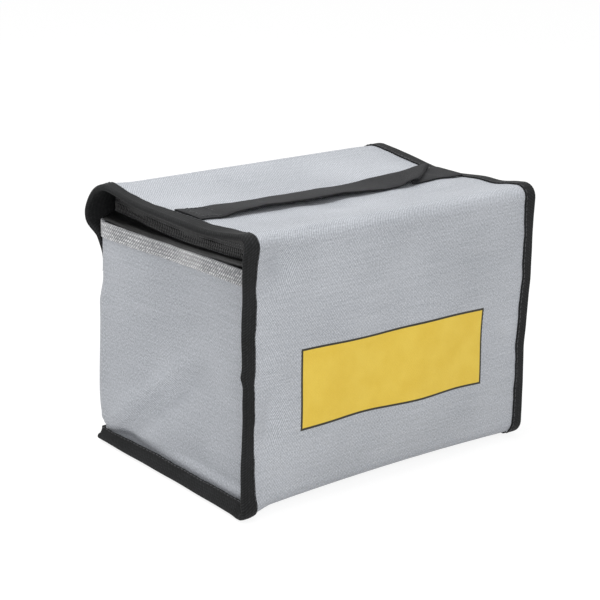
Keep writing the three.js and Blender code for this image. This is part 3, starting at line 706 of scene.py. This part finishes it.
edge_s = np.append(np.arange(9.5, COVER.length - 0.5, 1.5), COVER.length)
in_front = ease(edge_s, S_LOW_FOLD, S_FRONT + 30) * (1 - ease(edge_s, S_TOP_FOLD - 34, S_TOP_FOLD))
after_low = ease(edge_s, S_LOW_FOLD - 4, S_FRONT + 8)
on_lid = ease(edge_s, S_TOP_FOLD - 4, S_TOP_FOLD + 8)
inside = 3.6 + 2.4 * ease(edge_s, 20, 70) + 4.0 * after_low
# painted shade: the lid's inside leg widens to about 22 mm over its last 34 mm, so black tape covers the inside of the
# back fold where it lies in shade
inside = inside + 11.6 * ease(edge_s, COVER.length - 34, COVER.length)
lift = 4.3 - 2.2 * after_low - 1.8 * on_lid
left_outside = 9.4 - 2.0 * in_front - 2.0 * ease(edge_s, S_LID + 10, S_LID + 90)
right_outside = 8.6 - 0.8 * in_front
left_binding, left_rows = bound_edge("left_binding", COVER, cover, edge_s, -1, left_outside, inside, lift)
right_binding, right_rows = bound_edge("right_binding", COVER, cover, edge_s, 1, right_outside, inside, lift)
flap_s = np.append(np.arange(0, FLAP.length, 1.4), FLAP.length + 0.8)
# painted shade: the flap's inside legs stay about 22 mm wide round the back fold before narrowing to 10 mm, so black
# tape covers the fold's shaded inner face
flap_inside = 22.0 - 12.0 * ease(flap_s, 38, 54)
flap_lift = 0.3 + 0 * flap_s
flap_left_binding, flap_left_rows = bound_edge(
    "flap_left_binding", FLAP, flap, flap_s, -1, 7.4 + 1.4 * ease(flap_s, 10, 60), flap_inside, flap_lift, COVER.length
)
flap_right_binding, flap_right_rows = bound_edge(
    "flap_right_binding", FLAP, flap, flap_s, 1, 8.6 + 0 * flap_s, flap_inside, flap_lift, COVER.length
)


def end_binding(name, surface, path, s_edge, outward, width, reach):
    """Folded tape round the free end of a strip, square to its length; outward is +1 where the strip ends."""
    x = np.linspace(-reach, reach, 150)
    q = np.linspace(1, 0, 8)
    turn = np.radians(np.linspace(90, -90, 11))[1:-1]
    wave = wander(x, (0.3, 27, 0.4), (0.2, 12, 1.0))

    def place(fat, radius):
        legs = 1.8 + q[None] * (width + wave - 1.8)[:, None]
        w = np.concatenate([legs, 1.8 - radius * np.cos(turn)[None] + 0 * x[:, None], legs[:, ::-1]], 1)
        high = 1.8 - fat - 0.25 * q**3
        h = np.concatenate([high, radius * np.sin(turn), -high[::-1]])[None] + 0 * w
        s = s_edge - outward * w
        grid = surface(x[:, None] + 0 * w, np.clip(s, 0, path.length))
        beyond = s - np.clip(s, 0, path.length)
        out_y, out_z = path.left(np.clip(s, 1, path.length - 1))
        step = np.stack([0 * w, out_y * h + out_z * beyond, out_z * h - out_y * beyond], -1)
        return grid + step

    outer = place(0.0, 1.8)
    piece = shell(name, outer, place(TAPE, 1.8 - TAPE), lengths(outer), BINDING)
    at = np.arange(4, len(x) - 4, 2.4)
    rows = []
    for label, column in (("outside", 1), ("inside", -2)):
        middle = np.stack([np.interp(at, np.arange(len(x)), outer[:, column, k]) for k in range(3)], -1)
        up = middle - np.stack(
            [np.interp(at, np.arange(len(x)), outer[:, -2 if column == 1 else 1, k]) for k in range(3)], -1
        )
        up = up / np.linalg.norm(up, axis=1, keepdims=True)
        ahead = np.tile([1.0, 0, 0], (len(at), 1))
        rows.append(stitches(name + "_" + label, middle + up * 0.08, ahead, up, 2.4, 0.3, BLACK_THREAD))
    return piece, rows


flap_end_binding, flap_end_rows = end_binding("flap_end_binding", flap, FLAP, FLAP.length + 0.9, 1, 10.2, 105.5)
back_binding, back_rows = end_binding("back_bottom_binding", cover, COVER, -1.1, -1, 10.2, 108.2)


# ---------------------------------------------------------------- zip
def zip_wall(s, z, out=0.0):
    """Surface of the zip: behind the wall's top edge it follows the wall, higher up it runs straighter."""
    x, y = WALL.at(s)
    out_x, out_y = WALL.left(s)
    z = z + 0 * s
    from_end = np.minimum(s, WALL.length - s)
    low = wall(s, 0 * s + 136.0)
    follow = 1 - ease(z, 138.5, 143.5)
    off_x, off_y = (low[..., 0] - x) * follow, (low[..., 1] - y) * follow
    d = -1.5 + 1.3 * (1 - ease(from_end, 96, 130)) * (1 - follow) + out
    turned = 2.0 * (1 - ease(from_end, 0, 8)) * (1 - follow)
    return np.stack([x + off_x + out_x * (d + turned), y + off_y + out_y * (d + turned), z], -1)


def end_sag(s):
    """How far the zip hangs down along the middle of each end."""
    from_end = np.minimum(s, WALL.length - s)
    return 2.4 * hill(from_end, 74, 42) - 0.8 * hill(from_end, 8, 14)


ridge = np.array(
    [
        [131.6, -0.1], [134.6, 0.0], [136.6, 0.1], [137.8, 0.8], [138.9, 2.2], [140.0, 3.2], [141.0, 3.5],
        [141.9, 3.1], [142.5, 2.0], [142.9, 1.1], [143.5, 0.6], [144.2, 0.4], [144.8, 0.3],
    ]
)
profile = Path(ridge)
rows, across = np.meshgrid(
    np.linspace(1.2, WALL.length - 1.2, 300), np.linspace(0, profile.length, 40), indexing="ij"
)
level, out = profile.at(across)
from_end = np.minimum(rows, WALL.length - rows)
out = out * (1 - 0.72 * ease(from_end, 118, 138)) * (0.35 + 0.65 * ease(from_end, 0, 16))
out = out + 0.3 * wander(rows, (1, 47, 0.5), (0.6, 23, 1.4)) * ease(level, 137, 141)
lower_grid = zip_wall(rows, level, out)
lower_grid[..., 2] -= end_sag(rows) * ease(level, 134, 139) * (1 - 0.25 * ease(level, 142, 144.8))
zip_lower = cloth("zip_tape_lower_cloth", lower_grid, ZIP_TAPE, 0.9, np.stack([rows, across], -1))


def lid_under(s):
    """Height of the lid's underside above each point of the zip."""
    x, y = WALL.at(s)
    on_side = cover(np.sign(x) * 98.0, S_LID + np.clip(y - LID_FRONT_Y, 0, 127.0))[..., 2] - 1.0
    at_back = ease(y, 46, 66)
    return on_side * (1 - at_back) + 154.6 * at_back


upper_s = np.linspace(8, WALL.length - 8, 290)
rows, across = np.meshgrid(upper_s, np.linspace(0, 1, 22), indexing="ij")
low_z = 147.1 - end_sag(rows) * 0.8
high_z = lid_under(rows)
level = low_z + (high_z - low_z) * across
from_end = np.minimum(rows, WALL.length - rows)
out = 3.6 * ease(across, 0.55, 1) * (1 - ease(from_end, 108, 136)) + 0.5 * (1 - across) + 0.2
out = out + 0.25 * wander(rows, (1, 53, 0.5), (0.7, 29, 1.4)) * (1 - across)
upper_grid = zip_wall(rows, level, out)
zip_upper = cloth("zip_tape_upper_cloth", upper_grid, ZIP_TAPE, 0.9, np.stack([rows, across * 10], -1))


def zip_point(s, z):
    """A point of the coils' line; z is counted before the zip's sag."""
    place = zip_wall(s, z, 0.75 + 0 * s)
    place[..., 2] -= end_sag(s) * 0.8
    return place


def coil(name, z, start, slant):
    """One side of the zip: a close row of slanting coil turns."""
    s = np.arange(start, WALL.length - start, 1.7)
    middle = zip_point(s, z + 0 * s)
    out = np.stack([*WALL.left(s), s * 0], -1)
    ahead = zip_point(s + 0.5, z + 0 * s) - zip_point(s - 0.5, z + 0 * s)
    turn = np.tile([0, 0, 1.0], (len(s), 1)) + ahead * slant
    return stitches(name, middle + out * 0.15, turn, out, 2.9, 0.62, COIL)


coil_lower = coil("zip_coil_lower_turns", 144.9, 3, 0.3)
coil_upper = coil("zip_coil_upper_turns", 147.0, 12, -0.3)


def zip_row(name, z, start, off):
    return wall_stitches(name, zip_point, z, 1.75, 1.1, 0.26, GREY_THREAD, off, start, 0.05, 0.05)


zip_lower_rows = [zip_row("zip_stitches_low", 143.3, 4, 0.5)]
zip_upper_rows = [zip_row("zip_stitches_mid", 148.9, 13, 0.25), zip_row("zip_stitches_high", 150.6, 13, 0.2)]


# ---------------------------------------------------------------- closure strips
def closure(name, surface_at, thickness):
    """A strip of pile tape laid on a surface."""
    x = np.linspace(-75, 75, 120)
    q = np.linspace(0, 1, 10)
    across, rows = np.meshgrid(q, x)
    grid = surface_at(rows, across)
    return cloth(name, grid, PILE, thickness, np.stack([rows, across * 10.5], -1))


BACK_START = WALL.length / 2


def on_back(x, q):
    out = np.stack([x * 0, x * 0 + 1, x * 0], -1)
    return wall(BACK_START + x, 115.6 + 10.3 * q) + out * 1.35


def on_flap(x, q):
    s = FLAP.length - (11.4 + 10.4 * q)
    out = np.stack([x * 0, x * 0 + 1, x * 0], -1)
    return flap(x, s) - out * 1.3


loop_tape = closure("loop_tape", on_back, 1.1)
hook_tape = closure("hook_tape", on_flap, 1.1)


# ---------------------------------------------------------------- handle
def lid_height(x, y):
    """Height of the lid's top face."""
    return cover(x, S_LID + (y - LID_FRONT_Y))[..., 2] + CLOTH / 2


def strap_half(name, points, fold_shift, width=25.0):
    """Half the handle: a flat webbing strap swept along a side view given as (x, z, back edge's lift) rows.

    fold_shift moves each row's x by that much times the row's fourth number from the front to the back edge.
    """
    v = np.linspace(-1, 1, 22)
    rows = []
    for place in v:
        x = points[:, 0] + points[:, 3] * fold_shift * place
        z = points[:, 1] + points[:, 2] * place * 0.5
        walked = np.concatenate([[0], np.cumsum(np.hypot(np.diff(x), np.diff(z)))])
        s = np.linspace(0, walked[-1], 190)
        rows.append(np.stack([np.interp(s, walked, x), np.interp(s, walked, z)], -1))
    grid = np.stack(rows, 1)
    kernel = hill(np.arange(-6, 7), 0, 3.2)
    kernel = kernel / kernel.sum()
    padded = np.concatenate([2 * grid[:1] - grid[6:0:-1], grid, 2 * grid[-1:] - grid[-2:-8:-1]])
    grid = sum(k * padded[i : i + len(grid)] for i, k in enumerate(kernel))
    y = -8.0 + v[None] * width / 2 + 0 * grid[..., 0]
    y = y + 0.35 * wander(grid[..., 0], (1, 41, 0.5), (0.6, 19, 0))
    full = np.stack([grid[..., 0], y, grid[..., 1]], -1)
    lowest = lid_height(full[..., 0], full[..., 1]) + 0.85
    full[..., 2] = np.maximum(full[..., 2], lowest)
    out = normals(full)
    out = out * np.where(out[-1, 10, 2] < 0, -1, 1)
    fat = 0.75 * (1 - 0.55 * np.abs(v) ** 10)[None, :, None]
    return shell(name, full + out * fat, full - out * fat, lengths(full), WEBBING)


left_side = np.array(
    [
        [-99.0, 155.6, 0.4, 0], [-92, 155.9, 0.2, 0], [-82, 156.3, -0.8, 0], [-74, 156.8, -2.2, 0],
        [-65, 157.2, -3.0, 0], [-53, 157.5, -3.9, 0], [-35, 156.8, -2.7, 0], [-18, 156.8, -2.8, 0],
        [0, 156.9, -3.0, 0],
    ]
)
right_side = np.array(
    [
        [0, 156.9, -3.0, 0], [10, 156.4, -2.6, 0], [22, 156.0, -2.0, 0], [40, 155.9, 0.2, 0],
        [58, 156.8, 1.2, 0.6], [70, 158.9, 0.8, 1], [76.5, 159.4, 0.5, 1], [78.2, 158.8, 0.4, 1],
        [77, 158.1, 0.3, 1], [73.2, 157.8, 0.2, 1], [72.0, 157.2, 0.2, 1], [73.4, 156.5, 0, 1],
        [80, 156.3, 0, 0.9], [99.0, 156.4, 0, 0],
    ]
)
handle_left = strap_half("handle_left_half", left_side, 0)
handle_right = strap_half("handle_right_half", right_side, 16.0)


def anchor_stitches(name, side):
    """The box of stitches that holds a strap's end to the lid."""
    low, high = 80.5, 95.0
    xs = np.arange(low, high, 2.9)
    ys = np.arange(-17.6, 2.0, 2.9)
    runs = [np.stack([xs, xs * 0 + y], -1) for y in (-18.0, 2.0)]
    runs += [np.stack([ys * 0 + x, ys], -1) for x in (low, high)]
    ahead = [np.tile([1.0, 0, 0], (len(xs), 1))] * 2 + [np.tile([0, 1.0, 0], (len(ys), 1))] * 2
    flat = np.concatenate(runs)
    x = side * flat[:, 0]
    top = lid_height(x, flat[:, 1]) + 1.7
    middle = np.stack([x, flat[:, 1], top], -1)
    up = np.tile([0, 0, 1.0], (len(x), 1))
    return stitches(name, middle, np.concatenate(ahead), up, 2.2, 0.3, BLACK_THREAD)


left_box = anchor_stitches("handle_left_stitches", -1)

# ---------------------------------------------------------------- what each piece is and how it moves
for piece in [cover_cloth, left_binding, right_binding, *left_rows, *right_rows]:
    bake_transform(piece)
for piece in [flap_cloth, flap_left_binding, flap_right_binding, *flap_left_rows, *flap_right_rows]:
    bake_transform(piece)
for piece in [wall_cloth, wall_hem, *hem_rows, wall_lining, front_lining, back_binding, *back_rows]:
    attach(piece, "bag")
for piece in [zip_lower, coil_lower, *zip_lower_rows, loop_tape]:
    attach(piece, "bag")
for piece in [lid_lining, zip_upper, coil_upper, *zip_upper_rows, left_box]:
    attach(piece, "lid")
for piece in [hook_tape, flap_end_binding, *flap_end_rows]:
    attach(piece, "flap")
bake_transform(handle_left)
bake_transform(handle_right)

REPLACED = [
    (cover_cloth, ["bottom_panel", "front_panel", "lid_panel"], "silver_cloth"),
    (flap_cloth, ["flap_panel"], "silver_cloth"),
    (wall_cloth, ["end_wall_left", "back_wall", "end_wall_right"], "silver_cloth"),
    (wall_lining, ["lining_left", "lining_back", "lining_right"], "lining_cloth"),
    (front_lining, ["lining_bottom", "lining_front"], "lining_cloth"),
    (lid_lining, ["lining_lid"], "lining_cloth"),
    (left_binding, ["binding_bottom_left", "binding_front_left", "binding_lid_left"], "binding_tape"),
    (right_binding, ["binding_bottom_right", "binding_front_right", "binding_lid_right"], "binding_tape"),
    (flap_left_binding, ["binding_flap_left"], "binding_tape"),
    (flap_right_binding, ["binding_flap_right"], "binding_tape"),
    (flap_end_binding, ["binding_flap_end"], "binding_tape"),
    (back_binding, ["binding_back_bottom"], "binding_tape"),
    (zip_lower, ["zip_tape_lower"], "zip_tape"),
    (zip_upper, ["zip_tape_upper"], "zip_tape"),
    (coil_lower, ["zip_coil_lower"], "zip_coil"),
    (coil_upper, ["zip_coil_upper"], "zip_coil"),
    (loop_tape, ["loop_strip"], "hook_and_loop"),
    (hook_tape, ["hook_strip"], "hook_and_loop"),
    (handle_left, ["handle_end_left", "handle_strap"], "webbing"),
    (handle_right, ["handle_end_right"], "webbing"),
]
for piece, nodes, slot in REPLACED:
    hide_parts(*nodes)
for label in ("slider_left", "slider_right", "pull_left", "pull_right"):
    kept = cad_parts[label]
    kept.data.materials.clear()
    kept.data.materials.append(METAL)

# ---------------------------------------------------------------- ground, light and camera
scene = bpy.context.scene
scene.view_settings.view_transform = "Standard"


def stage_plane():
    size = 6.0
    mesh = bpy.data.meshes.new("ground")
    corners = [(-size, -size, 0), (size, -size, 0), (size, size, 0), (-size, size, 0)]
    mesh.from_pydata(corners, [], [(0, 1, 2, 3)])
    plane = bpy.data.objects.new("ground", mesh)
    plane.location = (0, 0, -0.0012)
    scene.collection.objects.link(plane)
    made = bpy.data.materials.new("White ground")
    made.use_nodes = True
    tree = made.node_tree
    tree.nodes.clear()
    output = tree.nodes.new("ShaderNodeOutputMaterial")
    matt = node(tree, "ShaderNodeBsdfDiffuse", {"Color": (0.8, 0.8, 0.8, 1)}).outputs[0]
    dim = node(tree, "ShaderNodeBsdfDiffuse", {"Color": (0.22, 0.22, 0.22, 1)}).outputs[0]
    glow = node(tree, "ShaderNodeEmission", {"Color": (1, 1, 1, 1), "Strength": 0.86}).outputs[0]
    seen = node(tree, "ShaderNodeAddShader", {0: dim, 1: glow}).outputs[0]
    ray = node(tree, "ShaderNodeLightPath").outputs
    seen_by = calc(tree, "MAXIMUM", ray["Is Camera Ray"], ray["Is Transmission Ray"])
    seen_by = calc(tree, "MAXIMUM", seen_by, ray["Is Glossy Ray"])
    both = node(tree, "ShaderNodeMixShader", {0: seen_by, 1: matt, 2: seen})
    tree.links.new(both.outputs[0], output.inputs[0])
    mesh.materials.append(made)


def white_world():
    world = bpy.data.worlds.new("White room")
    scene.world = world
    world.use_nodes = True
    tree = world.node_tree
    tree.nodes.clear()
    output = tree.nodes.new("ShaderNodeOutputWorld")
    room = node(tree, "ShaderNodeBackground", {"Color": (1, 1, 1, 1), "Strength": 0.55}).outputs[0]
    white = node(tree, "ShaderNodeBackground", {"Color": (1, 1, 1, 1), "Strength": 1.0}).outputs[0]
    ray = node(tree, "ShaderNodeLightPath").outputs
    seen_by = calc(tree, "MAXIMUM", ray["Is Camera Ray"], ray["Is Transmission Ray"])
    seen_by = calc(tree, "MAXIMUM", seen_by, ray["Is Glossy Ray"])
    both = node(tree, "ShaderNodeMixShader", {0: seen_by, 1: room, 2: white})
    tree.links.new(both.outputs[0], output.inputs[0])


def area_light(name, place, aim, size, power):
    light = bpy.data.lights.new(name, "AREA")
    light.shape = "DISK"
    light.size = size
    light.energy = power
    lamp = bpy.data.objects.new(name, light)
    lamp.location = place
    lamp.rotation_mode = "QUATERNION"
    lamp.rotation_quaternion = (Vector(aim) - Vector(place)).to_track_quat("-Z", "Y")
    scene.collection.objects.link(lamp)


stage_plane()
white_world()
area_light("Overhead softbox", (-0.25, 0.15, 1.25), (0, 0, 0.1), 0.7, 9.0)
area_light("Front softbox", (-0.75, -1.25, 0.75), (0, 0, 0.08), 0.6, 8.0)


def make_camera():
    turn, rise, roll = math.radians(-38.995), math.radians(17.493), math.radians(1.206)
    back = Vector((math.sin(turn) * math.cos(rise), -math.cos(turn) * math.cos(rise), math.sin(rise)))
    ahead = -back
    right = ahead.cross(Vector((0, 0, 1))).normalized()
    up = right.cross(ahead)
    tilted_right = right * math.cos(roll) + up * math.sin(roll)
    tilted_up = up * math.cos(roll) - right * math.sin(roll)
    frame_of = Matrix((tilted_right, tilted_up, back)).transposed().to_4x4()
    frame_of.translation = Vector((-0.0114, 0.0, 0.0904)) + back * 0.98995
    data = bpy.data.cameras.new("Camera")
    data.lens = 99.67
    data.sensor_width = 36.0
    data.clip_start, data.clip_end = 0.05, 50.0
    camera = bpy.data.objects.new("Camera", data)
    camera.matrix_world = frame_of
    scene.collection.objects.link(camera)
    scene.camera = camera


make_camera()
